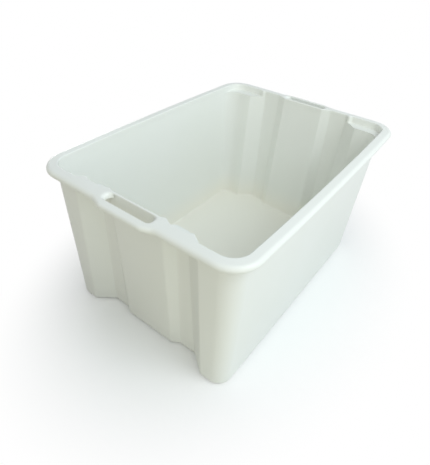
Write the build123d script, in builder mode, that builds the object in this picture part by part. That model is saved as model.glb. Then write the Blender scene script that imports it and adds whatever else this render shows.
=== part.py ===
import os
from math import hypot

from build123d import *

os.makedirs("parts", exist_ok=True)

# A stack and nest harvest tub, in millimetres: X is its length, Y its width, and it stands on Z = 0
# The front end, at -X, has corner columns and inward channels
# The rear end, at +X, has the reverse, so a tub turned end for end stands on the one below

# Overall sizes
rim_length = 629.0
rim_width = 448.0
height = 319.0
wall = 3.0

# How far the walls stand inside the rim's outer edge, at the foot and at the ledges
foot_inset = 33.0
rim_overhang = 18.0

# How far the middle of each long side bows outwards, and half the length of its curved stretch
foot_bow = 1.0
rim_bow = 4.5
bow_run = 200.0

# Rolled rim
skirt_height = 13.0
rim_round = 10.0
lip_round = 0.45 * wall
skirt_round = 0.4 * wall

# Rounded corners of the walls, at the foot and at the ledges
foot_corner = 27.0
top_corner = 35.0
crease = 6.0
foot_round = 0.9 * (crease + wall)

# Stacking ledges, measured down from the rim
ledge_drop = 15.0
pocket_depth = 6.5

# How far each end's features stand inside its outermost face, at the foot and at the ledges
channel_depth_foot = 28.0
channel_depth_top = 25.0
panel_depth_foot = 18.5
panel_depth_top = 10.0

# Front end: distances from the middle line, at the foot and at the ledges
front_panel_foot = 0.125 * rim_width
front_panel_top = 0.129 * rim_width
channel_inner_foot = 0.163 * rim_width
channel_inner_top = 0.167 * rim_width
channel_outer_foot = 0.239 * rim_width
channel_outer_top = 0.219 * rim_width
front_column_foot = 0.319 * rim_width
front_column_top = 0.304 * rim_width

# Rear end: distances from the middle line, at the foot and at the ledges
rear_panel_foot = 0.116 * rim_width
rear_panel_top = 0.112 * rim_width
rear_column_inner_foot = 0.163 * rim_width
rear_column_inner_top = 0.156 * rim_width
rear_column_outer_foot = 0.234 * rim_width
rear_column_outer_top = 0.25 * rim_width
ridge_foot = 0.313 * rim_width
ridge_top = 0.321 * rim_width

# What is left of the slopes beside each pocket: how deep the nibs are, the length of their back slope,
# their rounding, and how far each ledge stops short of their tips
front_nib_depth = 12.0
panel_nib_depth = 13.5
rear_nib_depth = 5.0
nib_back = 7.0
nib_round = 1.5
nib_clear = 1.0

# Hand slots and grip bars
grip_bulge = 8.0
grip_half = 0.1 * rim_width
grip_run = 0.05 * rim_width
grip_blend = 25.0
slot_half = 0.112 * rim_width
slot_outer = 6.0
slot_inner = rim_overhang + panel_depth_top
slot_corner = 0.4 * (slot_inner - slot_outer)

half_length = rim_length / 2
half_width = rim_width / 2
reach = half_width + rim_bow
ledge_height = height - ledge_drop

# Where one zone of the moulding meets the next, clear of the rounded corners
corner_margin = 5.0
floor_cut = foot_round + 0.5 * wall
front_cut = half_length - max(foot_inset + foot_corner, rim_overhang + top_corner) - corner_margin
rear_cut = front_cut - channel_depth_foot
corner_cut = (front_column_foot + half_width - foot_inset - foot_corner) / 2
column_cut = (channel_outer_foot + channel_outer_top + front_column_foot + front_column_top) / 4
channel_cut = (front_panel_foot + front_panel_top + channel_inner_foot + channel_inner_top) / 4
ridge_cut = (rear_column_outer_foot + rear_column_outer_top + ridge_foot + ridge_top) / 4
panel_cut = (rear_panel_foot + rear_panel_top + rear_column_inner_foot + rear_column_inner_top) / 4
grip_cut = grip_half + grip_run + 0.03 * rim_width
strip_cut = half_length - (slot_outer + slot_inner) / 2
ledge_cut = half_length - rim_overhang - channel_depth_top - 0.67 * top_corner

# Where the nibs stand on the slopes, from the middle line
front_nib_share = front_nib_depth / channel_depth_top
panel_nib_share = (panel_nib_depth - panel_depth_top) / (channel_depth_top - panel_depth_top)
rear_nib_share = rear_nib_depth / channel_depth_top
front_nib = front_column_top + (channel_outer_top - front_column_top) * front_nib_share
panel_nib = front_panel_top + (channel_inner_top - front_panel_top) * panel_nib_share
rear_nib = rear_column_outer_top + (ridge_top - rear_column_outer_top) * rear_nib_share


def whole_loop(half):
    """Mirror the half outline across the length, to close it."""
    return half + [(x, -y, r) for x, y, r in reversed(half)]


def bowed_side(end, side, rear_end, bow, corner):
    """Long side of an outline: its front corner, the flat peak of its bow and its rear corner."""
    slope = bow / (end - bow_run / 2)
    return [
        (-end, side, corner),
        (0.0, side + slope * end, bow_run / slope),
        (rear_end, side + slope * (end - rear_end), corner),
    ]


def wall_loop(z):
    """Outer outline of the walls at a height: points, each with the radius of its tighter face."""
    share = z / ledge_height

    def at(foot, top):
        return foot + (top - foot) * share

    inset = at(foot_inset, rim_overhang)
    end = half_length - inset
    side = half_width - inset
    corner = at(foot_corner, top_corner) - wall
    bow = at(foot_bow, rim_bow)
    channel = at(channel_depth_foot, channel_depth_top)
    panel = at(panel_depth_foot, panel_depth_top)
    return whole_loop(
        [
            (panel - end, at(front_panel_foot, front_panel_top), crease),
            (channel - end, at(channel_inner_foot, channel_inner_top), crease),
            (channel - end, at(channel_outer_foot, channel_outer_top), crease),
            (-end, at(front_column_foot, front_column_top), crease),
            *bowed_side(end, side, end - channel, bow, corner),
            (end - channel, at(ridge_foot, ridge_top), crease),
            (end, at(rear_column_outer_foot, rear_column_outer_top), crease),
            (end, at(rear_column_inner_foot, rear_column_inner_top), crease),
            (end - panel, at(rear_panel_foot, rear_panel_top), crease),
        ]
    )


def collar_loop():
    """Outer outline of the upright collar above the ledges, which steps outwards over each pocket."""
    end = half_length - rim_overhang
    side = half_width - rim_overhang
    corner = top_corner - wall
    return whole_loop(
        [
            (panel_depth_top - end, front_panel_top, crease),
            (panel_nib_depth - end, panel_nib, nib_round),
            (pocket_depth - end, panel_nib + 2 * nib_back, nib_round),
            (pocket_depth - end, front_nib - nib_back, nib_round),
            (front_nib_depth - end, front_nib, nib_round),
            (-end, front_column_top, crease),
            *bowed_side(end, side, end, rim_bow, corner),
            (end, rear_nib + nib_back, nib_round),
            (end - rear_nib_depth, rear_nib, nib_round),
            (end, rear_column_outer_top, crease),
            (end, rear_column_inner_top, crease),
            (end - panel_depth_top, rear_panel_top, crease),
        ]
    )


def rim_loop():
    """Outer outline of the rim, which bulges outwards round each grip bar."""
    corner = top_corner + rim_overhang - wall
    return whole_loop(
        [
            (-half_length - grip_bulge, grip_half, grip_blend),
            (-half_length, grip_half + grip_run, grip_blend),
            *bowed_side(half_length, half_width, half_length, rim_bow, corner),
            (half_length, grip_half + grip_run, grip_blend),
            (half_length + grip_bulge, grip_half, grip_blend),
        ]
    )


def inside(loop, gap):
    """Points and radii of a clockwise outline moved inwards by a gap."""
    points = []
    radii = []
    for i, (x, y, tight) in enumerate(loop):
        x0, y0, _ = loop[i - 1]
        x1, y1, _ = loop[(i + 1) % len(loop)]
        run_in = hypot(x - x0, y - y0)
        run_out = hypot(x1 - x, y1 - y)
        in_x, in_y = (y - y0) / run_in, (x0 - x) / run_in
        out_x, out_y = (y1 - y) / run_out, (x - x1) / run_out
        step = gap / (1 + in_x * out_x + in_y * out_y)
        points.append((x + step * (in_x + out_x), y + step * (in_y + out_y)))
        hollow = in_x * out_y - in_y * out_x > 0
        radii.append(tight + gap if hollow else max(tight + wall - gap, 0.5))
    return points, radii


# Outlines of the flat floor, the foot, the floor's upper face and the ledges
plate_line, plate_radii = inside(wall_loop(0.0), floor_cut)
foot_line, foot_radii = inside(wall_loop(0.0), 0.0)
floor_line, floor_radii = inside(wall_loop(wall), wall)
top_line, top_radii = inside(wall_loop(ledge_height), 0.0)
inner_line, inner_radii = inside(wall_loop(ledge_height), wall)

# Solid form of the outside of the tub below the ledges, with its rounded foot
with BuildPart() as outside_form:
    with BuildSketch():
        with BuildLine():
            FilletPolyline(*foot_line, radius=foot_radii, close=True)
        make_face()
    with BuildSketch(Plane.XY.offset(ledge_height)):
        with BuildLine():
            FilletPolyline(*top_line, radius=top_radii, close=True)
        make_face()
    loft(ruled=True)
    fillet(outside_form.faces().sort_by(Axis.Z)[0].edges(), foot_round)

# Space inside the tub below the ledges
with BuildPart() as inside_form:
    with BuildSketch(Plane.XY.offset(wall)):
        with BuildLine():
            FilletPolyline(*floor_line, radius=floor_radii, close=True)
        make_face()
    with BuildSketch(Plane.XY.offset(ledge_height)):
        with BuildLine():
            FilletPolyline(*inner_line, radius=inner_radii, close=True)
        make_face()
    loft(ruled=True)
    fillet(inside_form.faces().sort_by(Axis.Z)[0].edges(), foot_round - wall)

# Flat floor, inside the rounded foot
with BuildPart() as floor:
    with BuildSketch():
        with BuildLine():
            FilletPolyline(*plate_line, radius=plate_radii, close=True)
        make_face()
    extrude(amount=wall)
floor.part.label = "floor"
export_step(floor.part, "parts/floor.step")

# All the walls as one skin, each with its rounded foot
with BuildPart() as skin:
    add(outside_form.part)
    add(inside_form.part, mode=Mode.SUBTRACT)
    add(floor.part, mode=Mode.SUBTRACT)

# Outlines of the collar and the rim
collar_line, collar_radii = inside(collar_loop(), 0.0)
mouth_line, mouth_radii = inside(collar_loop(), wall)
rim_line, rim_radii = inside(rim_loop(), 0.0)
under_line, under_radii = inside(rim_loop(), wall)

# Zones of the four pockets: between the nibs at the front, and round the corners at the rear
with BuildPart() as pockets:
    for sign in (1, -1):
        with Locations((-half_length / 2, sign * (front_nib + panel_nib) / 2, ledge_height)):
            Box(half_length, front_nib - panel_nib - 2 * nib_clear, 3 * wall)
        with Locations(((half_length + ledge_cut) / 2, sign * (reach + rear_nib) / 2, ledge_height)):
            Box(half_length - ledge_cut, reach - rear_nib - 2 * nib_clear, 3 * wall)

# Ledges under the pockets, from the walls out to the collar's inner face
with BuildPart() as ledges:
    with BuildSketch(Plane.XY.offset(ledge_height - wall)):
        with BuildLine():
            FilletPolyline(*mouth_line, radius=mouth_radii, close=True)
        make_face()
    extrude(amount=wall)
    add(outside_form.part, mode=Mode.SUBTRACT)
    add(pockets.part, mode=Mode.INTERSECT)

# Foot of the collar, which goes down past the edge of each ledge
with BuildPart() as collar_foot:
    with BuildSketch(Plane.XY.offset(ledge_height - wall)):
        with BuildLine():
            FilletPolyline(*collar_line, radius=collar_radii, close=True)
        make_face()
        with BuildLine():
            FilletPolyline(*mouth_line, radius=mouth_radii, close=True)
        make_face(mode=Mode.SUBTRACT)
    extrude(amount=wall)
    add(outside_form.part, mode=Mode.SUBTRACT)
    add(pockets.part, mode=Mode.INTERSECT)

# Hollow under the rim, between its skirt and the collar
with BuildPart() as under_form:
    with BuildSketch(Plane.XY.offset(height - skirt_height)):
        with BuildLine():
            FilletPolyline(*under_line, radius=under_radii, close=True)
        make_face()
    extrude(amount=skirt_height - wall)
    fillet(under_form.faces().sort_by(Axis.Z)[-1].edges(), rim_round - wall)

# Rolled rim and upright collar as one ring, with the hand slots through it
with BuildPart() as ring:
    with BuildSketch(Plane.XY.offset(height - skirt_height)):
        with BuildLine():
            FilletPolyline(*rim_line, radius=rim_radii, close=True)
        make_face()
    extrude(amount=skirt_height)
    fillet(ring.faces().sort_by(Axis.Z)[-1].edges(), rim_round)
    add(under_form.part, mode=Mode.SUBTRACT)
    fillet(ring.faces().sort_by(Axis.Z)[0].edges(), skirt_round)
    with BuildSketch(Plane.XY.offset(ledge_height)):
        with BuildLine():
            FilletPolyline(*collar_line, radius=collar_radii, close=True)
        make_face()
    extrude(amount=height - ledge_height)
    with BuildSketch(Plane.XY.offset(ledge_height)):
        with BuildLine():
            FilletPolyline(*mouth_line, radius=mouth_radii, close=True)
        make_face()
    extrude(amount=height - ledge_height, mode=Mode.SUBTRACT)
    add(collar_foot.part)
    with BuildSketch(Plane.XY.offset(height)):
        with Locations((strip_cut, 0), (-strip_cut, 0)):
            RectangleRounded(slot_inner - slot_outer, 2 * slot_half, slot_corner)
    extrude(amount=-1.5 * wall, mode=Mode.SUBTRACT)
    top_face = ring.faces().sort_by(Axis.Z)[-1]
    fillet([edge for wire in top_face.inner_wires() for edge in wire.edges()], lip_round)

# Middle panels of both ends, under the hand slots
with BuildPart() as front_panel:
    add(skin.part)
    with Locations((-half_length / 2, 0, ledge_height / 2)):
        Box(half_length, 2 * channel_cut, ledge_height, mode=Mode.INTERSECT)
front_panel.part.label = "front_panel"
export_step(front_panel.part, "parts/front_panel.step")

with BuildPart() as rear_panel:
    add(skin.part)
    with Locations((half_length / 2, 0, ledge_height / 2)):
        Box(half_length, 2 * panel_cut, ledge_height, mode=Mode.INTERSECT)
rear_panel.part.label = "rear_panel"
export_step(rear_panel.part, "parts/rear_panel.step")

# Walls on each side of the middle line, and the ledges over the channels and ridges
for side, sign in (("left", 1), ("right", -1)):
    corner_width = reach - corner_cut
    corner_middle = sign * (reach + corner_cut) / 2

    with BuildPart() as long_wall:
        add(skin.part)
        with Locations(((rear_cut - front_cut) / 2, corner_middle, ledge_height / 2)):
            Box(front_cut + rear_cut, corner_width, ledge_height, mode=Mode.INTERSECT)
    long_wall.part.label = f"{side}_wall"
    export_step(long_wall.part, f"parts/{side}_wall.step")

    with BuildPart() as front_corner:
        add(skin.part)
        with Locations((-(half_length + front_cut) / 2, corner_middle, ledge_height / 2)):
            Box(half_length - front_cut, corner_width, ledge_height, mode=Mode.INTERSECT)
    front_corner.part.label = f"front_{side}_corner"
    export_step(front_corner.part, f"parts/front_{side}_corner.step")

    with BuildPart() as front_column:
        add(skin.part)
        with Locations((-half_length / 2, sign * (corner_cut + column_cut) / 2, ledge_height / 2)):
            Box(half_length, corner_cut - column_cut, ledge_height, mode=Mode.INTERSECT)
    front_column.part.label = f"front_{side}_column"
    export_step(front_column.part, f"parts/front_{side}_column.step")

    with BuildPart() as front_channel:
        add(skin.part)
        with Locations((-half_length / 2, sign * (column_cut + channel_cut) / 2, ledge_height / 2)):
            Box(half_length, column_cut - channel_cut, ledge_height, mode=Mode.INTERSECT)
    front_channel.part.label = f"front_{side}_channel"
    export_step(front_channel.part, f"parts/front_{side}_channel.step")

    with BuildPart() as rear_corner:
        add(skin.part)
        with Locations(((half_length + rear_cut) / 2, corner_middle, ledge_height / 2)):
            Box(half_length - rear_cut, corner_width, ledge_height, mode=Mode.INTERSECT)
    rear_corner.part.label = f"rear_{side}_corner"
    export_step(rear_corner.part, f"parts/rear_{side}_corner.step")

    with BuildPart() as rear_ridge:
        add(skin.part)
        with Locations((half_length / 2, sign * (corner_cut + ridge_cut) / 2, ledge_height / 2)):
            Box(half_length, corner_cut - ridge_cut, ledge_height, mode=Mode.INTERSECT)
    rear_ridge.part.label = f"rear_{side}_ridge"
    export_step(rear_ridge.part, f"parts/rear_{side}_ridge.step")

    with BuildPart() as rear_column:
        add(skin.part)
        with Locations((half_length / 2, sign * (ridge_cut + panel_cut) / 2, ledge_height / 2)):
            Box(half_length, ridge_cut - panel_cut, ledge_height, mode=Mode.INTERSECT)
    rear_column.part.label = f"rear_{side}_column"
    export_step(rear_column.part, f"parts/rear_{side}_column.step")

    with BuildPart() as front_ledge:
        add(ledges.part)
        with Locations((-half_length / 2, sign * reach / 2, ledge_height)):
            Box(half_length, reach, 3 * wall, mode=Mode.INTERSECT)
    front_ledge.part.label = f"front_{side}_ledge"
    export_step(front_ledge.part, f"parts/front_{side}_ledge.step")

    with BuildPart() as rear_ledge:
        add(ledges.part)
        with Locations((half_length / 2, sign * reach / 2, ledge_height)):
            Box(half_length, reach, 3 * wall, mode=Mode.INTERSECT)
    rear_ledge.part.label = f"rear_{side}_ledge"
    export_step(rear_ledge.part, f"parts/rear_{side}_ledge.step")

    with BuildPart() as rim_side:
        add(ring.part)
        with Locations(((rear_cut - front_cut) / 2, corner_middle, height)):
            Box(front_cut + rear_cut, corner_width, 3 * ledge_drop, mode=Mode.INTERSECT)
    rim_side.part.label = f"rim_{side}"
    export_step(rim_side.part, f"parts/rim_{side}.step")

    with BuildPart() as rim_front_corner:
        add(ring.part)
        with Locations((-(half_length + front_cut) / 2, corner_middle, height)):
            Box(half_length - front_cut, corner_width, 3 * ledge_drop, mode=Mode.INTERSECT)
    rim_front_corner.part.label = f"rim_front_{side}_corner"
    export_step(rim_front_corner.part, f"parts/rim_front_{side}_corner.step")

    with BuildPart() as rim_rear_corner:
        add(ring.part)
        with Locations(((half_length + rear_cut) / 2, corner_middle, height)):
            Box(half_length - rear_cut, corner_width, 3 * ledge_drop, mode=Mode.INTERSECT)
    rim_rear_corner.part.label = f"rim_rear_{side}_corner"
    export_step(rim_rear_corner.part, f"parts/rim_rear_{side}_corner.step")

    for end, way in (("front", -1), ("rear", 1)):
        with BuildPart() as rim_end:
            add(ring.part)
            with Locations((way * half_length, sign * (corner_cut + grip_cut) / 2, height)):
                Box(half_length, corner_cut - grip_cut, 3 * ledge_drop, mode=Mode.INTERSECT)
        rim_end.part.label = f"rim_{end}_{side}"
        export_step(rim_end.part, f"parts/rim_{end}_{side}.step")

# Grips at both ends: the bar outside the slot, the strip behind it and the lip that lines it
for end, way in (("front", -1), ("rear", 1)):
    with BuildPart() as grip:
        add(ring.part)
        with Locations((way * (strip_cut + half_length / 2), 0, height)):
            Box(half_length, 2 * grip_cut, 3 * ledge_drop, mode=Mode.INTERSECT)
    grip.part.label = f"{end}_grip"
    export_step(grip.part, f"parts/{end}_grip.step")

    with BuildPart() as grip_strip:
        add(ring.part)
        with Locations((way * (strip_cut - half_length / 2), 0, height)):
            Box(half_length, 2 * grip_cut, 3 * ledge_drop, mode=Mode.INTERSECT)
    grip_strip.part.label = f"{end}_grip_strip"
    export_step(grip_strip.part, f"parts/{end}_grip_strip.step")

    with BuildPart() as grip_lip:
        with BuildSketch(Plane.XY.offset(height - skirt_height)):
            with Locations((way * strip_cut, 0)):
                RectangleRounded(
                    slot_inner - slot_outer + 2 * wall,
                    2 * (slot_half + wall),
                    slot_corner + wall,
                )
                RectangleRounded(
                    slot_inner - slot_outer,
                    2 * slot_half,
                    slot_corner,
                    mode=Mode.SUBTRACT,
                )
            with Locations((way * (half_length - slot_inner - wall), 0)):
                Rectangle(2 * wall, rim_width, mode=Mode.SUBTRACT)
        extrude(amount=skirt_height - wall)
        add(ring.part, mode=Mode.SUBTRACT)
    grip_lip.part.label = f"{end}_grip_lip"
    export_step(grip_lip.part, f"parts/{end}_grip_lip.step")
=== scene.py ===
import math

import bmesh
import bpy
from mathutils import Matrix, Vector


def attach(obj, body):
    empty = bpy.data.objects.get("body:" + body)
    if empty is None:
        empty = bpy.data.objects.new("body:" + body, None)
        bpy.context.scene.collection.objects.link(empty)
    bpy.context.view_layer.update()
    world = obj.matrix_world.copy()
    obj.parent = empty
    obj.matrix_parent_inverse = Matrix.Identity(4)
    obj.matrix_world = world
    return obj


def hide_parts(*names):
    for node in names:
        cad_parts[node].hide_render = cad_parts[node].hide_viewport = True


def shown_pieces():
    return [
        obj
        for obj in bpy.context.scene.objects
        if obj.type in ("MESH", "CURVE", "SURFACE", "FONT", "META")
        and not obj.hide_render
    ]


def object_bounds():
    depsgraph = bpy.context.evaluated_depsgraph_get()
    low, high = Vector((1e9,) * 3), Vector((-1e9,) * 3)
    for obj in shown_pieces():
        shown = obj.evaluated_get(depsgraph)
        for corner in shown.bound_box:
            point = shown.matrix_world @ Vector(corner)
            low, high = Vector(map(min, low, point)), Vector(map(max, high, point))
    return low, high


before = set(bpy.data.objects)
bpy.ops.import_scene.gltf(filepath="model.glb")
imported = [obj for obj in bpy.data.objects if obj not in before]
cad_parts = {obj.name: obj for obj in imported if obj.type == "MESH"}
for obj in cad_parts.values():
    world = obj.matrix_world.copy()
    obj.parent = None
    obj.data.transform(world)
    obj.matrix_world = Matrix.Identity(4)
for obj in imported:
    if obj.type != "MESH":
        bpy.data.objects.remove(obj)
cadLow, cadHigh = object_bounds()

scene = bpy.context.scene
scene.view_settings.view_transform = "Standard"
mm = 0.001  # sizes below are in millimetres, and the scene is in metres


# colours and nodes

def hexToLinear(code):
    channels = [int(code[i:i + 2], 16) / 255 for i in (1, 3, 5)]
    return [c / 12.92 if c <= 0.04045 else ((c + 0.055) / 1.055) ** 2.4 for c in channels] + [1.0]


def addNode(tree, kind, settings=None, values=None, links=None):
    node = tree.nodes.new(kind)
    for name, value in (settings or {}).items():
        setattr(node, name, value)
    for name, value in (values or {}).items():
        node.inputs[name].default_value = value
    for name, source in (links or {}).items():
        tree.links.new(source, node.inputs[name])
    return node


# moulded polyethylene: a waxy satin white, a little yellow-green in random patches, with painted light
# inside by the floor: a warm glow standing in for light that comes through from the ground

plastic = {
    "colour": "#F6F8F5",
    "shade": "#F2F5EF",         # thicker or older patches, slightly yellower
    "cloud": 160.0,             # mm across one soft patch of colour
    "foot": "#FAF9F0",          # painted light: creamier inside by the floor, a warm glow standing in for light from the ground that shows through a little
    "paintedGlowRise": 80.0,           # mm over which that fades out
    "ripple": 45.0,             # mm, the slight waviness of a thin wall that has shrunk
    "rippleBump": (0.25, 1.2),  # strength, and depth in mm
    "grain": 1.6,               # mm, the mould's fine spark texture, coarser than life so that it shows
    "grainBump": (0.12, 0.05),
    "roughness": (0.34, 0.46),
    "ior": 1.54,
}


def polyethylene():
    material = bpy.data.materials.new("moulded_polyethylene")
    material.use_nodes = True
    tree = material.node_tree
    tree.nodes.clear()
    spot = addNode(tree, "ShaderNodeTexCoord")
    where = spot.outputs["Object"]
    cloud, ripple, grain = [
        addNode(tree, "ShaderNodeTexNoise", links={"Vector": where},
                values={"Scale": 1 / (plastic[name] * mm), "Detail": detail}).outputs["Fac"]
        for name, detail in (("cloud", 3.0), ("ripple", 1.0), ("grain", 2.0))
    ]
    colour = addNode(tree, "ShaderNodeMix", {"data_type": "RGBA"}, links={"Factor": cloud})
    colour.inputs[6].default_value = hexToLinear(plastic["colour"])
    colour.inputs[7].default_value = hexToLinear(plastic["shade"])
    level = addNode(tree, "ShaderNodeSeparateXYZ", links={0: where}).outputs["Z"]
    low = addNode(tree, "ShaderNodeMapRange", {"interpolation_type": "SMOOTHSTEP"},
                  values={"From Max": plastic["paintedGlowRise"] * mm, "To Min": 1.0, "To Max": 0.0},
                  links={"Value": level})
    # a face is inside where it looks towards the middle or upwards, and only such faces get the painted
    # glow
    inwards = addNode(tree, "ShaderNodeVectorMath", {"operation": "MULTIPLY_ADD"},
                      values={1: (-1, -1, 0), 2: (0, 0, 0.1)}, links={0: where})
    facing = addNode(tree, "ShaderNodeVectorMath", {"operation": "DOT_PRODUCT"},
                     links={0: inwards.outputs["Vector"], 1: spot.outputs["Normal"]})
    inside = addNode(tree, "ShaderNodeMath", {"operation": "GREATER_THAN"}, values={1: 0.0},
                     links={0: facing.outputs["Value"]})
    # painted light: share of the warm glow, strongest low down on the inner faces
    paintedGlowShare = addNode(tree, "ShaderNodeMath", {"operation": "MULTIPLY"},
                     links={0: low.outputs["Result"], 1: inside.outputs[0]})
    # the plastic's colour with the painted warm glow mixed in
    colourWithPaintedGlow = addNode(tree, "ShaderNodeMix", {"data_type": "RGBA"},
                     links={"Factor": paintedGlowShare.outputs[0], 6: colour.outputs[2]})
    colourWithPaintedGlow.inputs[7].default_value = hexToLinear(plastic["foot"])
    satin, matt = plastic["roughness"]
    rough = addNode(tree, "ShaderNodeMapRange", values={"To Min": satin, "To Max": matt},
                    links={"Value": cloud})
    strength, depth = plastic["rippleBump"]
    wavy = addNode(tree, "ShaderNodeBump", values={"Strength": strength, "Distance": depth * mm},
                   links={"Height": ripple})
    strength, depth = plastic["grainBump"]
    fine = addNode(tree, "ShaderNodeBump", values={"Strength": strength, "Distance": depth * mm},
                   links={"Height": grain, "Normal": wavy.outputs["Normal"]})
    shader = addNode(tree, "ShaderNodeBsdfPrincipled", values={"IOR": plastic["ior"]},
                     links={"Base Color": colourWithPaintedGlow.outputs[2], "Roughness": rough.outputs["Result"],
                            "Normal": fine.outputs["Normal"]})
    addNode(tree, "ShaderNodeOutputMaterial", links={"Surface": shader.outputs["BSDF"]})
    return material


plasticMaterial = polyethylene()
print("plastic ready")


# outlines: each point is x, y and the rounding of the tighter face, clockwise from the front's middle

tub = {
    "wall": 3.0,
    "footInset": 33.0,      # the walls stand this far inside the rim's edge at the foot
    "rimOverhang": 18.0,    # and this far at the ledges
    "bow": (1.0, 4.5),      # how far the middle of each long side bows outwards, at the foot and the rim
    "bowRun": 200.0,        # half the length of the curved stretch
    "ledgeDrop": 15.0,      # from the rim down to the stacking ledges
    "footCorner": 27.0,
    "topCorner": 35.0,
    "crease": 6.0,
    "footRound": 8.1,
    "footEase": 0.95,       # the walls lean, so the foot's bevel is a little under its radius
    "footSteps": 6,
    "floorStrip": 1.5,      # flat strip of the floor that the walls keep
    "setBack": (28.0, 25.0),  # rear corners behind the end's face, at the foot and at the ledges
    # folds, going outwards: depth and distance from the middle line, each at the foot and at the ledges
    "front": [((18.5, 10.0), (56.0, 57.8)), ((28.0, 25.0), (73.0, 74.8)),
              ((28.0, 25.0), (107.1, 98.1)), ((0.0, 0.0), (142.9, 136.2))],
    "rear": [((18.5, 10.0), (52.0, 50.2)), ((0.0, 0.0), (73.0, 69.9)),
             ((0.0, 0.0), (104.8, 112.0)), ((28.0, 25.0), (140.2, 143.8))],
    "levels": 11,           # rows of faces up the walls, because their slopes twist
}

collar = {  # the upright band above the ledges, which steps outwards over each pocket
    "pocket": 6.5,
    "panelNib": 13.5,
    "frontNib": 12.0,
    "rearNib": 5.0,
    "nibBack": 7.0,
    "nibRound": 1.5,
}

rim = {
    "skirt": 13.0,
    "crown": 2.6,           # how far the top falls away from the mouth to the outer edge
    "round": 8.5,           # rounding of the rolled outer edge
    "rollSteps": 7,
    "rollBand": 1.0,        # flat band beside it
    "rollSpare": 1.95,      # the leaning skirt starts this far out, and the roll takes that corner off
    "lip": 2.2,             # rounding of the mouth's upper edge
    "lipSteps": 5,
    "lipBand": 2.3,         # flat band that the lip is rounded out of
    "slotLip": 1.55,        # rounding of the slots' outer upper edge
    "slotRoll": 1.9,        # and of the strip on their inner side
    "tuck": 1.5,            # how far the skirt's lower edge is drawn in under the roll
    "hem": 1.3,             # rounding of the skirt's lower edges
    "hemSteps": 3,
    "bulge": 8.0,
    "gripHalf": 44.8,
    "gripRun": 22.4,
    "gripBlend": 25.0,
    "slotHalf": 50.2,
    "slotOuter": 6.0,
    "slotGap": 1.5,         # the slot keeps this far off the panel behind it
    "liningGap": 0.15,      # and its lining this much further
    "slotCorner": 8.8,
    "slotScoop": 8.0,       # rounding of the slots' ends, down which the fingers slide
    "scoopSteps": 7,
}

height = cadHigh.z / mm
halfWidth = cadHigh.y / mm - tub["bow"][1]
halfLength = cadHigh.x / mm - rim["bulge"]
wall = tub["wall"]
ledge = height - tub["ledgeDrop"]
topEnd = halfLength - tub["rimOverhang"]
topSide = halfWidth - tub["rimOverhang"]
panelEnd = topEnd - tub["front"][0][0][1]  # outer face of the panels behind the slots, at the ledges
skirt = rim["skirt"] - rim["crown"]  # upright part of the rim, before its top is crowned


def mix(pair, share):
    return pair[0] + (pair[1] - pair[0]) * share


def wholeLoop(half):
    return half + [(x, -y, r) for x, y, r in reversed(half)]


def bowedSide(end, side, rearEnd, bow, corner):  # front corner, middle of the bow and rear corner
    slope = bow / (end - tub["bowRun"] / 2)
    return [(-end, side, corner), (0.0, side + slope * end, tub["bowRun"] / slope),
            (rearEnd, side + slope * (end - rearEnd), corner)]


def wallOutline(z):
    share = z / ledge
    inset = mix((tub["footInset"], tub["rimOverhang"]), share)
    end, side = halfLength - inset, halfWidth - inset
    corner = mix((tub["footCorner"], tub["topCorner"]), share) - wall
    front = [(mix(depth, share) - end, mix(out, share), tub["crease"]) for depth, out in tub["front"]]
    rear = [(end - mix(depth, share), mix(out, share), tub["crease"]) for depth, out in tub["rear"]]
    sides = bowedSide(end, side, end - mix(tub["setBack"], share), mix(tub["bow"], share), corner)
    return wholeLoop(front + sides + rear[::-1])  # 4 points, 3 and 4, and then the other half


def onSlope(points, depth):  # the point of a slope that stands this far behind the end's face
    (nearDepth, nearOut), (farDepth, farOut) = [(d[1], out[1]) for d, out in points]
    return nearOut + (farOut - nearOut) * (depth - nearDepth) / (farDepth - nearDepth)


panelNib = onSlope(tub["front"][0:2], collar["panelNib"])
frontNib = onSlope(tub["front"][2:4], collar["frontNib"])
rearNib = onSlope(tub["rear"][2:4], collar["rearNib"])


def collarOutline():
    top = wallOutline(ledge)
    corner = tub["topCorner"] - wall
    nib, back = collar["nibRound"], collar["nibBack"]
    frontPocket = [(collar["panelNib"] - topEnd, panelNib, nib),
                   (collar["pocket"] - topEnd, panelNib + 2 * back, nib),
                   (collar["pocket"] - topEnd, frontNib - back, nib),
                   (collar["frontNib"] - topEnd, frontNib, nib)]
    sides = bowedSide(topEnd, topSide, topEnd, tub["bow"][1], corner)
    rearPocket = [(topEnd, rearNib + back, nib), (topEnd - collar["rearNib"], rearNib, nib)]
    return wholeLoop(top[0:1] + frontPocket + top[3:4] + sides + rearPocket + top[8:11])


def rimOutline(tuck=0.0):
    corner = tub["topCorner"] + tub["rimOverhang"] - wall - tuck
    blend, run = rim["gripBlend"], rim["gripHalf"] + rim["gripRun"]
    end, bar = halfLength - tuck, halfLength + rim["bulge"] - tuck
    return wholeLoop([(-bar, rim["gripHalf"], blend), (-end, run, blend),
                      *bowedSide(end, halfWidth - tuck, end, tub["bow"][1], corner),
                      (end, run, blend), (bar, rim["gripHalf"], blend)])


def slotOutline(way, grow, longer, inward=0.0):
    outer = halfLength - rim["slotOuter"] + grow
    inner = panelEnd + rim["slotGap"] - inward
    half, corner = rim["slotHalf"] + longer, rim["slotCorner"] + grow - wall
    low, high = sorted((way * outer, way * inner))
    return [(low, -half, corner), (low, half, corner), (high, half, corner), (high, -half, corner)]


def flare(radius, drop):  # how much wider a rounded opening is at this depth
    return radius - math.sqrt(radius ** 2 - max(radius - drop, 0.0) ** 2)


def slotLevel(bm, way, drop):  # the slot's outline at this depth, with rounded sides and scooped ends
    outline = slotOutline(way, flare(rim["slotLip"], drop), flare(rim["slotScoop"], drop),
                          flare(rim["slotRoll"], drop))
    return outlineFace(bm, outline, height - drop)


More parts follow.
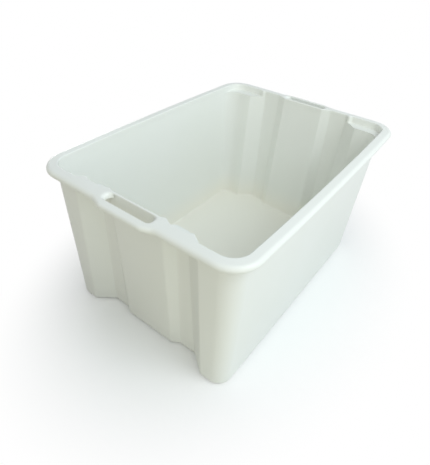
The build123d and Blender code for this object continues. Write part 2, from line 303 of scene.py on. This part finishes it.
def slotWalls(bm, way, start, end):
    count = rim["scoopSteps"]
    depths = [start + (end - start) * (1 - math.cos(math.pi / 2 * i / count)) for i in range(count + 1)]
    levels = [slotLevel(bm, way, depth) for depth in depths]
    for upper, lower in zip(levels, levels[1:]):
        bridge(bm, upper, lower)
    openUp(bm, *levels)


# mesh helpers

def soften(bm, geom, width, segments, affect="EDGES"):
    return bmesh.ops.bevel(bm, geom=geom, offset=width * mm, offset_type="OFFSET", segments=segments,
                           profile=0.5, affect=affect, material=-1, clamp_overlap=False, loop_slide=True)


def outlineFace(bm, outline, z, gap=0.0, steps=5):
    corners = [Vector((x, y)) for x, y, tight in outline]
    others = set(bm.faces)
    verts = [bm.verts.new((x * mm, y * mm, z * mm)) for x, y, tight in outline]
    bm.faces.new(verts)
    for i, (vert, (x, y, tight)) in enumerate(zip(verts, outline)):
        after = corners[(i + 1) % len(corners)] - corners[i]
        turn = (corners[i] - corners[i - 1]).angle_signed(after)  # clockwise is positive
        radius = tight + wall if turn > 0 else tight
        segments = steps if radius < 20 else 2 * steps  # more of them round a wide corner
        if radius > 0:
            soften(bm, [vert], radius * math.tan(abs(turn) / 2), segments, "VERTICES")
    face = next(f for f in bm.faces if f not in others)  # rounding its corners made it anew
    if gap:
        bmesh.ops.delete(bm, geom=shrink(bm, face, gap), context="FACES")
    return face


def shrink(bm, face, gap):  # leaves a flat band of this width around the face
    return bmesh.ops.inset_region(bm, faces=[face], thickness=gap * mm, use_boundary=True,
                                  use_even_offset=True)["faces"]


def bridge(bm, first, second):
    return bmesh.ops.bridge_loops(bm, edges=list(first.edges) + list(second.edges))["faces"]


def openUp(bm, *faces):
    bmesh.ops.delete(bm, geom=list(faces), context="FACES_ONLY")


def atHeight(item, z):
    return all(abs(v.co.z - z * mm) < 1e-6 for v in item.verts)


def flatAt(bm, z):
    return max((f for f in bm.faces if atHeight(f, z)), key=lambda f: f.calc_area())


def faceOut(bm):
    bmesh.ops.recalc_face_normals(bm, faces=bm.faces)


def fillFlat(bm, z):  # closes what is open at this height, leaving the holes within it
    edges = [e for e in bm.edges if atHeight(e, z) and len(e.link_faces) == 1]
    bmesh.ops.triangle_fill(bm, edges=edges, use_beauty=True, normal=(0, 0, 1))


def report(name, bm):
    faceOut(bm)
    loose = sum(1 for e in bm.edges if len(e.link_faces) != 2)
    print(f"{name}: {len(bm.faces)} faces, {loose} open edges")


# walls with their rounded foot, and the floor inside it

def wallsAndFloor():
    bm = bmesh.new()
    foot = outlineFace(bm, wallOutline(0.0), 0.0)
    top = outlineFace(bm, wallOutline(ledge), ledge)
    inside = outlineFace(bm, wallOutline(wall), wall, wall)
    bridge(bm, foot, top)
    shrink(bm, top, wall)
    bridge(bm, inside, top)
    openUp(bm, top)
    faceOut(bm)
    floors = []
    for face, z, footRound in ((foot, 0.0, tub["footRound"]), (inside, wall, tub["footRound"] - wall)):
        soften(bm, list(face.edges), tub["footEase"] * footRound, tub["footSteps"])
        floors.append(flatAt(bm, z))
        shrink(bm, floors[-1], tub["floorStrip"])
    tall = [e for e in bm.edges if abs(e.verts[0].co.z - e.verts[1].co.z) > ledge / 2 * mm]
    bmesh.ops.subdivide_edges(bm, edges=tall, cuts=tub["levels"], use_grid_fill=True)
    joint = bridge(bm, *floors)
    bm.faces.index_update()
    plate = {f.index for f in floors + joint}
    floor = bm.copy()
    floor.faces.index_update()
    bmesh.ops.delete(floor, geom=[f for f in floor.faces if f.index not in plate], context="FACES")
    openUp(bm, *floors)
    return bm, floor


# rolled rim and the collar that carries it, with the hand slots through it

def crowned(bm):  # lowers the rim's top little by little from the mouth to the outer edge
    for vert in bm.verts:
        x, y = abs(vert.co.x) / mm, abs(vert.co.y) / mm
        side = topSide + tub["bow"][1] * (1 - (x / topEnd) ** 2)
        past = Vector((x - topEnd, y - side)) + Vector((1, 1)) * tub["topCorner"]
        out = Vector((max(past.x, 0), max(past.y, 0))).length - tub["topCorner"]
        share = min(max(out / tub["rimOverhang"], 0.0), 1.0)
        vert.co.z -= rim["crown"] * share ** 2 * mm
    return bm


def rimRing():
    bm = bmesh.new()
    top = outlineFace(bm, rimOutline(-rim["rollSpare"]), height)
    hem = outlineFace(bm, rimOutline(rim["tuck"]), height - skirt)
    under = outlineFace(bm, rimOutline(), height - wall, wall)
    bridge(bm, top, hem)
    hemEdges = list(hem.edges)
    shrink(bm, hem, wall)
    hemEdges += list(hem.edges)
    bridge(bm, hem, under)
    openUp(bm, hem)
    faceOut(bm)
    soften(bm, hemEdges, rim["hem"], rim["hemSteps"])
    for face, z, rounding in ((top, height, rim["round"]), (under, height - wall, rim["round"] - wall)):
        soften(bm, list(face.edges), rounding, rim["rollSteps"])
        face = flatAt(bm, z)
        shrink(bm, face, rim["rollBand"])
        openUp(bm, face)
    mouth = outlineFace(bm, collarOutline(), height, wall - rim["lipBand"])
    shrink(bm, mouth, rim["lipBand"])
    low = outlineFace(bm, collarOutline(), ledge)
    outside = outlineFace(bm, collarOutline(), height - wall)
    bridge(bm, low, outside)
    shrink(bm, low, wall)
    bridge(bm, low, mouth)
    lips = list(mouth.edges)
    openUp(bm, mouth, low, outside)
    for way in (-1, 1):
        slotWalls(bm, way, 0.0, wall)
    fillFlat(bm, height)
    fillFlat(bm, height - wall)
    faceOut(bm)
    soften(bm, lips, rim["lip"], rim["lipSteps"])
    return crowned(bm)


# ledges that a turned tub stands on, one under each pocket

ledges = {
    "past": 1.0,   # the rear ones start this far before the corner's curve
    "keep": 0.67,  # share of the curve that they follow, before their thin end fades into the wall
}


def ledgePlate(end):
    bm = bmesh.new()
    top, out = wallOutline(ledge), collarOutline()
    tip, fold = -wall, tub["crease"] - wall  # a sharp tip, and a corner that fills the fold of the wall
    if end == "front":
        points = [(*out[1][:2], tip), out[2], out[3], (*out[4][:2], tip),
                  (*top[2][:2], fold), (*top[1][:2], fold)]
    else:
        start = top[6][0] - tub["topCorner"] - ledges["past"]
        side = mix((top[6][1], out[8][1]), (start - top[6][0]) / (out[8][0] - top[6][0]))
        points = [(start, side, tip), out[8], out[9], (*out[10][:2], tip),
                  (*top[7][:2], fold), (*top[6][:2], tub["topCorner"])]
    outlineFace(bm, points, ledge)
    if end == "rear":
        cut = (top[6][0] - ledges["keep"] * tub["topCorner"]) * mm
        bmesh.ops.bisect_plane(bm, geom=bm.verts[:] + bm.edges[:] + bm.faces[:], plane_co=(cut, 0, 0),
                               plane_no=(-1, 0, 0), clear_outer=True)
    made = bmesh.ops.extrude_face_region(bm, geom=bm.faces[:])["geom"]
    under = [v for v in made if isinstance(v, bmesh.types.BMVert)]
    bmesh.ops.translate(bm, verts=under, vec=(0, 0, -wall * mm))
    return bm


# lip that lines the outer side and the ends of each slot

def gripLip(way):
    bm = bmesh.new()
    outline = slotOutline(way, wall, wall, wall)
    top = outlineFace(bm, outline, height - wall)
    low = outlineFace(bm, outline, height - skirt)
    bridge(bm, top, low)
    openUp(bm, top, low)
    slotWalls(bm, way, wall, skirt)
    fillFlat(bm, height - wall)
    fillFlat(bm, height - skirt)
    faceOut(bm)
    hem = [e for e in bm.edges if atHeight(e, height - skirt) and e.calc_face_angle(0.0) > 1.0]
    soften(bm, hem, rim["hem"], rim["hemSteps"])
    inner = panelEnd + rim["slotGap"] + rim["liningGap"]
    return crowned(cutOut(bm, (None, -inner) if way < 0 else (inner, None), (None, None)))


wallBand, floorPlate = wallsAndFloor()
report("walls", wallBand)
report("floor", floorPlate)
ring = rimRing()
report("rim", ring)


# each zone of the moulding becomes a piece, cut where the walls run straight so that no seam shows

zones = {  # millimetres from the middle
    "front": 249.5,   # along the sides, to the corners
    "rear": 221.5,
    "corner": 153.5,  # across the ends, to the corners
    "column": 121.1,
    "channel": 65.4,
    "ridge": 125.2,
    "panel": 61.3,
    "grip": 80.6,
    "strip": 297.5,   # through the slots, between the grip bar and the strip behind it
}
creaseAngle = math.radians(40)


def cutOut(source, xRange, yRange):
    bm = source.copy()
    for axis, (low, high) in ((1, yRange), (0, xRange)):
        for limit, way in ((low, -1), (high, 1)):
            if limit is None:
                continue
            square = Vector((axis == 0, axis == 1, 0))
            made = bmesh.ops.bisect_plane(bm, geom=bm.verts[:] + bm.edges[:] + bm.faces[:], dist=1e-7,
                                          plane_co=square * limit * mm, plane_no=square * way,
                                          clear_outer=True)
            rims = [e for e in made["geom_cut"] if isinstance(e, bmesh.types.BMEdge)]
            bmesh.ops.holes_fill(bm, edges=rims, sides=0)
    return bm


def addPiece(node, bm):
    faceOut(bm)
    for face in bm.faces:
        face.smooth = True
    for edge in bm.edges:
        edge.smooth = edge.calc_face_angle(0.0) < creaseAngle
    mesh = bpy.data.meshes.new(node + "_moulded")
    bm.to_mesh(mesh)
    bm.free()
    mesh.materials.append(plasticMaterial)
    piece = bpy.data.objects.new(node + "_moulded", mesh)
    scene.collection.objects.link(piece)
    piece.modifiers.new("even_normals", "WEIGHTED_NORMAL").keep_sharp = True
    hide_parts(node)
    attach(piece, "root")
    return piece


def mirrored(bm):
    bmesh.ops.scale(bm, vec=(1, -1, 1), verts=bm.verts)
    return bm


def sideRange(near, far, side):  # the same stretch on the left, +y, or on the right
    return (near, far) if side == "left" else (None if far is None else -far, -near)


for side in ("left", "right"):
    corner = sideRange(zones["corner"], None, side)
    for prefix, source in (("", wallBand), ("rim_", ring)):
        longName = f"rim_{side}" if prefix else f"{side}_wall"
        addPiece(longName, cutOut(source, (-zones["front"], zones["rear"]), corner))
        addPiece(f"{prefix}front_{side}_corner", cutOut(source, (None, -zones["front"]), corner))
        addPiece(f"{prefix}rear_{side}_corner", cutOut(source, (zones["rear"], None), corner))
    for name, near, far, xRange in (
        ("front_{}_column", "column", "corner", (None, 0.0)),
        ("front_{}_channel", "channel", "column", (None, 0.0)),
        ("rear_{}_ridge", "ridge", "corner", (0.0, None)),
        ("rear_{}_column", "panel", "ridge", (0.0, None)),
    ):
        addPiece(name.format(side), cutOut(wallBand, xRange, sideRange(zones[near], zones[far], side)))
    for end, xRange in (("front", (None, 0.0)), ("rear", (0.0, None))):
        stretch = sideRange(zones["grip"], zones["corner"], side)
        addPiece(f"rim_{end}_{side}", cutOut(ring, xRange, stretch))
        plate = ledgePlate(end)
        addPiece(f"{end}_{side}_ledge", plate if side == "left" else mirrored(plate))

for end, way, cut in (("front", -1, "channel"), ("rear", 1, "panel")):
    half, strip = zones[cut], zones["strip"]
    gripRange = (-zones["grip"], zones["grip"])
    addPiece(f"{end}_panel", cutOut(wallBand, (None, 0.0) if way < 0 else (0.0, None), (-half, half)))
    addPiece(f"{end}_grip", cutOut(ring, (None, -strip) if way < 0 else (strip, None), gripRange))
    addPiece(f"{end}_grip_strip", cutOut(ring, (-strip, 0.0) if way < 0 else (0.0, strip), gripRange))
    addPiece(f"{end}_grip_lip", gripLip(way))

addPiece("floor", floorPlate)
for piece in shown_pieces():
    bm = bmesh.new()
    bm.from_mesh(piece.data)
    bm.free()


# camera at the photo's viewing angle

view = {
    "place": (-0.6596, -0.4139, 0.7067),  # metres
    "azimuth": -54.10,
    "elevation": 33.92,
    "roll": 3.175,
    "lens": 33.12,
    "shift": (0.0136, -0.0783),
}


def addCamera():
    data = bpy.data.cameras.new("camera")
    data.lens = view["lens"]
    data.shift_x, data.shift_y = view["shift"]
    camera = bpy.data.objects.new("camera", data)
    turn = (Matrix.Rotation(math.radians(view["azimuth"]), 4, "Z")
            @ Matrix.Rotation(math.radians(90 - view["elevation"]), 4, "X")
            @ Matrix.Rotation(math.radians(view["roll"]), 4, "Z"))
    camera.matrix_world = Matrix.Translation(view["place"]) @ turn
    scene.collection.objects.link(camera)
    scene.camera = camera


addCamera()


# pale floor and soft studio light

studio = {
    "floorColour": "#FFFFFF",
    "floorSize": 30.0,              # metres
    "floorDrop": 0.5,               # mm below the foot
    "floorFade": (0.2, 0.42),       # metres from the middle over which the floor fades to plain white
    "floorOval": (0.72, 1.0, 1.0),  # that fade follows the tub's outline, which is longer than wide
    "floorBounce": ("#E6E2CC", "#BEC1BE"),  # light thrown back on the tub's front, and on its sides
    "bounceRun": (-0.5, -0.2),      # metres along the tub between the two
    "dullColour": "#26241C",        # less is thrown back by the left front corner
    "dullPlace": (-0.5, 0.48, 0.0),
    "dullRun": (0.15, 0.7),         # metres from that place over which this fades out
    "fill": 0.655,                  # soft light from all round, where 1 is white
    "fillTilt": (-0.171, -0.478, 0.0),      # more of it comes from the front and the right
    "fillColour": ("#F5F0DE", "#F2FBFF"),   # straight from the front, and from elsewhere
    "fillRun": (-1.0, -0.3),        # between the two, where -1 is straight from the front
    "lamps": {                      # broad and soft, in watts and metres
        "right": {"power": 4.85, "size": 0.6, "colour": "#F5FCFF",
                  "place": (-0.1, -0.95, 1.15), "aim": (0.0, 0.0, 0.2)},
        "behind_left": {"power": 3.2, "size": 0.5, "colour": "#F9FBF8",
                        "place": (0.35, 1.1, 0.22), "aim": (0.05, 0.1, 0.15)},
    },
}


def seenRays(tree):  # 1 for rays from the camera, straight or by way of a gloss or a clear piece
    path = addNode(tree, "ShaderNodeLightPath")
    indirect = addNode(tree, "ShaderNodeMath", {"operation": "MAXIMUM"},
                       links={0: path.outputs["Is Glossy Ray"], 1: path.outputs["Is Transmission Ray"]})
    return addNode(tree, "ShaderNodeMath", {"operation": "MAXIMUM"},
                   links={0: path.outputs["Is Camera Ray"], 1: indirect.outputs[0]}).outputs[0]


def twoColours(tree, where, run, codes):  # from the first to the second along x
    along = addNode(tree, "ShaderNodeSeparateXYZ", links={0: where}).outputs["X"]
    share = addNode(tree, "ShaderNodeMapRange", values={"From Min": run[0], "From Max": run[1]},
                    links={"Value": along})
    colour = addNode(tree, "ShaderNodeMix", {"data_type": "RGBA"},
                     links={"Factor": share.outputs["Result"]})
    for socket, code in zip(colour.inputs[6:8], codes):
        socket.default_value = hexToLinear(code)
    return colour.outputs[2]


def floorPaint():  # matt pale paint near the tub, which keeps its shadow, and plain white further off
    material = bpy.data.materials.new("matt_pale_floor")
    material.use_nodes = True
    material.cycles.emission_sampling = "NONE"
    tree = material.node_tree
    tree.nodes.clear()
    where = addNode(tree, "ShaderNodeTexCoord").outputs["Object"]
    oval = addNode(tree, "ShaderNodeVectorMath", {"operation": "MULTIPLY"},
                   values={1: studio["floorOval"]}, links={0: where}).outputs["Vector"]
    distance = addNode(tree, "ShaderNodeVectorMath", {"operation": "LENGTH"}, links={0: oval})
    near, far = studio["floorFade"]
    fade = addNode(tree, "ShaderNodeMapRange", {"interpolation_type": "SMOOTHSTEP"},
                   values={"From Min": near, "From Max": far},
                   links={"Value": distance.outputs["Value"]})
    paint = addNode(tree, "ShaderNodeBsdfDiffuse", values={"Color": hexToLinear(studio["floorColour"])})
    white = addNode(tree, "ShaderNodeEmission", values={"Color": (1, 1, 1, 1), "Strength": 1.0})
    seen = addNode(tree, "ShaderNodeMixShader",
                   links={0: fade.outputs["Result"], 1: paint.outputs[0], 2: white.outputs[0]})
    thrown = twoColours(tree, where, studio["bounceRun"], studio["floorBounce"])
    apart = addNode(tree, "ShaderNodeVectorMath", {"operation": "DISTANCE"},
                    values={1: studio["dullPlace"]}, links={0: where})
    near, far = studio["dullRun"]
    clear = addNode(tree, "ShaderNodeMapRange", {"interpolation_type": "SMOOTHSTEP"},
                    values={"From Min": near, "From Max": far},
                    links={"Value": apart.outputs["Value"]})
    dulled = addNode(tree, "ShaderNodeMix", {"data_type": "RGBA"},
                     links={"Factor": clear.outputs["Result"], 7: thrown})
    dulled.inputs[6].default_value = hexToLinear(studio["dullColour"])
    bounce = addNode(tree, "ShaderNodeBsdfDiffuse", links={"Color": dulled.outputs[2]})
    floor = addNode(tree, "ShaderNodeMixShader",
                    links={0: seenRays(tree), 1: bounce.outputs[0], 2: seen.outputs[0]})
    addNode(tree, "ShaderNodeOutputMaterial", links={"Surface": floor.outputs[0]})
    return material


def addFloor():
    bm = bmesh.new()
    bmesh.ops.create_grid(bm, x_segments=1, y_segments=1, size=studio["floorSize"] / 2)
    mesh = bpy.data.meshes.new("studio_floor")
    bm.to_mesh(mesh)
    bm.free()
    mesh.materials.append(floorPaint())
    floor = bpy.data.objects.new("studio_floor", mesh)
    floor.location.z = -studio["floorDrop"] * mm
    scene.collection.objects.link(floor)


def addFill():
    world = bpy.data.worlds.new("studio")
    world.use_nodes = True
    tree = world.node_tree
    tree.nodes.clear()
    way = addNode(tree, "ShaderNodeTexCoord").outputs["Generated"]
    tilt = addNode(tree, "ShaderNodeVectorMath", {"operation": "DOT_PRODUCT"},
                   values={1: studio["fillTilt"]}, links={0: way}).outputs["Value"]
    amount = addNode(tree, "ShaderNodeMath", {"operation": "ADD"},
                     values={1: studio["fill"]}, links={0: tilt})
    colour = twoColours(tree, way, studio["fillRun"], studio["fillColour"])
    fill = addNode(tree, "ShaderNodeBackground", links={"Color": colour, "Strength": amount.outputs[0]})
    white = addNode(tree, "ShaderNodeBackground", values={"Color": (1, 1, 1, 1), "Strength": 1.0})
    sky = addNode(tree, "ShaderNodeMixShader",
                  links={0: seenRays(tree), 1: fill.outputs[0], 2: white.outputs[0]})
    addNode(tree, "ShaderNodeOutputWorld", links={"Surface": sky.outputs[0]})
    scene.world = world


def addLamps():
    for name, lamp in studio["lamps"].items():
        data = bpy.data.lights.new("soft_lamp_" + name, "AREA")
        data.energy, data.size = lamp["power"], lamp["size"]
        data.color = hexToLinear(lamp["colour"])[:3]
        light = bpy.data.objects.new("soft_lamp_" + name, data)
        light.location = lamp["place"]
        back = Vector(lamp["place"]) - Vector(lamp["aim"])  # a lamp shines along its own -z
        light.rotation_euler = back.to_track_quat("Z", "Y").to_euler()
        light.visible_camera = False
        scene.collection.objects.link(light)


addFloor()
addFill()
addLamps()
print("camera, floor and light ready")
